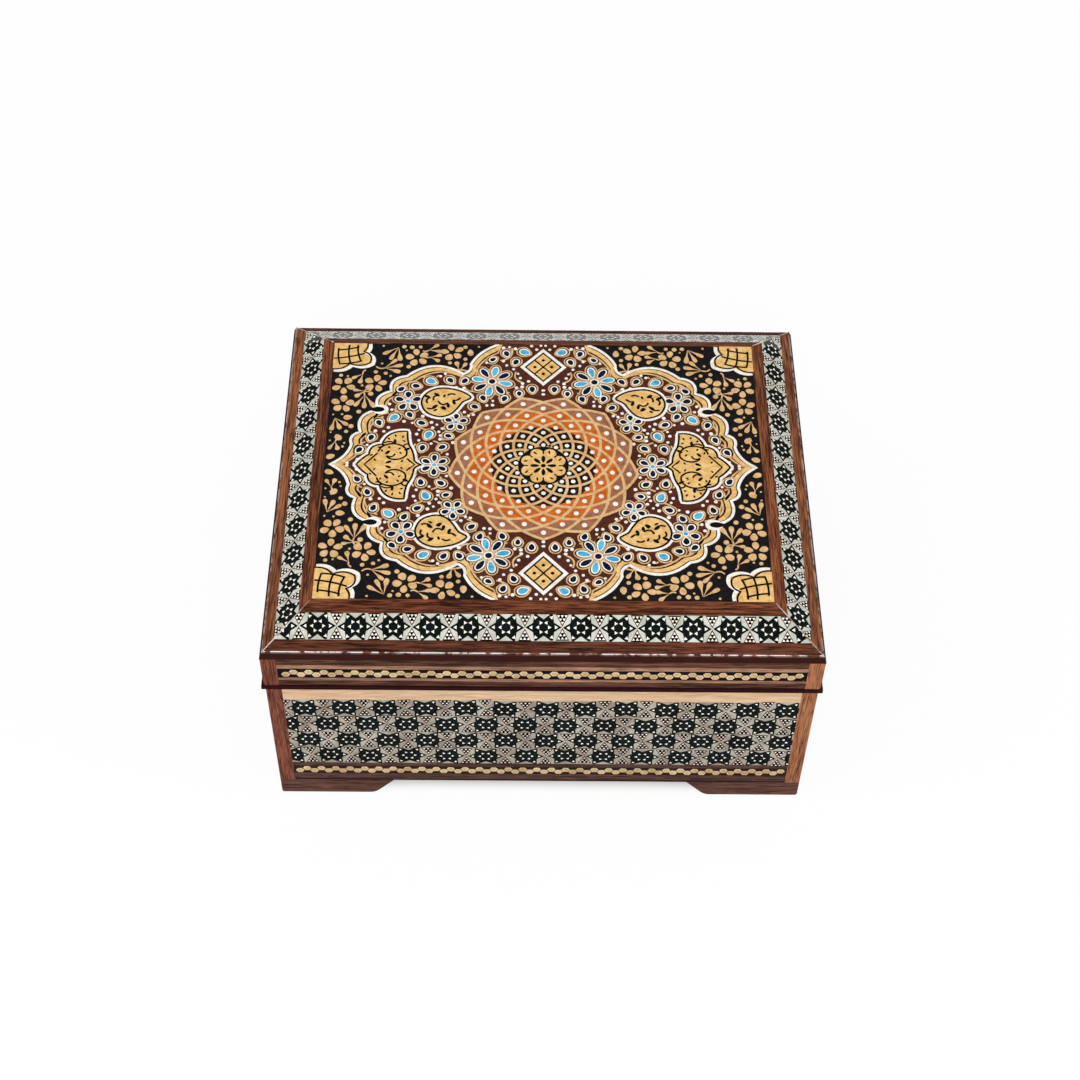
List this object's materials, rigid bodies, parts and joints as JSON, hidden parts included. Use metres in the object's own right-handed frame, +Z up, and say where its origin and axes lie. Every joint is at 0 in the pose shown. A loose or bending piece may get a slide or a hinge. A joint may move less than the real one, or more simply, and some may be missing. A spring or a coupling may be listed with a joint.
{
  "type": "inlaid wooden box",
  "caption": "Rectangular wooden casket with star-marquetry sides, a hipped hinged lid around a painted medallion panel, velvet lining and bracket feet, for jewellery and keepsakes.",
  "frame": {"origin": "on the table under the middle of the box, where the feet stand", "axes": "+X along the width to the right, +Y towards the hinges at the back, +Z up"},
  "size_m": [0.1612, 0.1312, 0.0804],
  "materials": {
    "moulding_wood": "glossy varnish",
    "rail_wood": "glossy varnish",
    "post_wood": "glossy varnish",
    "base_wood": "glossy varnish",
    "foot_wood": "glossy varnish",
    "carcase_wood": "bare",
    "pale_strip": "glossy varnish",
    "star_marquetry": "polished under varnish",
    "chain_inlay": "polished under varnish",
    "painted_lacquer": "painted and varnished",
    "velvet": "short pile on card",
    "brass": "polished"
  },
  "bodies": {
    "box": {"back_base_band": "base_wood", "back_khatam_panel": "star_marquetry", "back_left_foot": "foot_wood", "back_left_post": "post_wood", "back_right_foot": "foot_wood", "back_right_post": "post_wood", "back_wall": "carcase_wood", "base_chain_inlays": "chain_inlay", "body_hinge_screws": "brass", "floor_board": "carcase_wood", "floor_pad": "velvet", "front_base_band": "base_wood", "front_khatam_panel": "star_marquetry", "front_left_foot": "foot_wood", "front_left_post": "post_wood", "front_right_foot": "foot_wood", "front_right_post": "post_wood", "front_wall": "carcase_wood", "left_base_band": "base_wood", "left_hinge_body_leaf": "brass", "left_hinge_pin": "brass", "left_khatam_panel": "star_marquetry", "left_wall": "carcase_wood", "right_base_band": "base_wood", "right_hinge_body_leaf": "brass", "right_hinge_pin": "brass", "right_khatam_panel": "star_marquetry", "right_wall": "carcase_wood", "rim_strips": "pale_strip", "velvet_rim": "velvet", "wall_linings": "velvet"},
    "lid": {"back_inner_moulding": "moulding_wood", "back_khatam_border": "star_marquetry", "back_outer_moulding": "moulding_wood", "front_inner_moulding": "moulding_wood", "front_khatam_border": "star_marquetry", "front_outer_moulding": "moulding_wood", "left_hinge_lid_leaf": "brass", "left_inner_moulding": "moulding_wood", "left_khatam_border": "star_marquetry", "left_outer_moulding": "moulding_wood", "lid_back_left_post": "post_wood", "lid_back_rail": "rail_wood", "lid_back_right_post": "post_wood", "lid_board": "carcase_wood", "lid_chain_inlays": "chain_inlay", "lid_front_left_post": "post_wood", "lid_front_rail": "rail_wood", "lid_front_right_post": "post_wood", "lid_hinge_screws": "brass", "lid_left_rail": "rail_wood", "lid_lining": "velvet", "lid_right_rail": "rail_wood", "lid_stringing": "pale_strip", "lid_velvet_rim": "velvet", "painted_panel": "painted_lacquer", "right_hinge_lid_leaf": "brass", "right_inner_moulding": "moulding_wood", "right_khatam_border": "star_marquetry", "right_outer_moulding": "moulding_wood"}
  },
  "joints": [
    {"name": "lid_hinge", "type": "hinge", "parent": "box", "child": "lid", "pos_m": [0, 0.0642, 0.0576], "axis": [-1, 0, 0], "range_deg": [0, 105]}
  ]
}
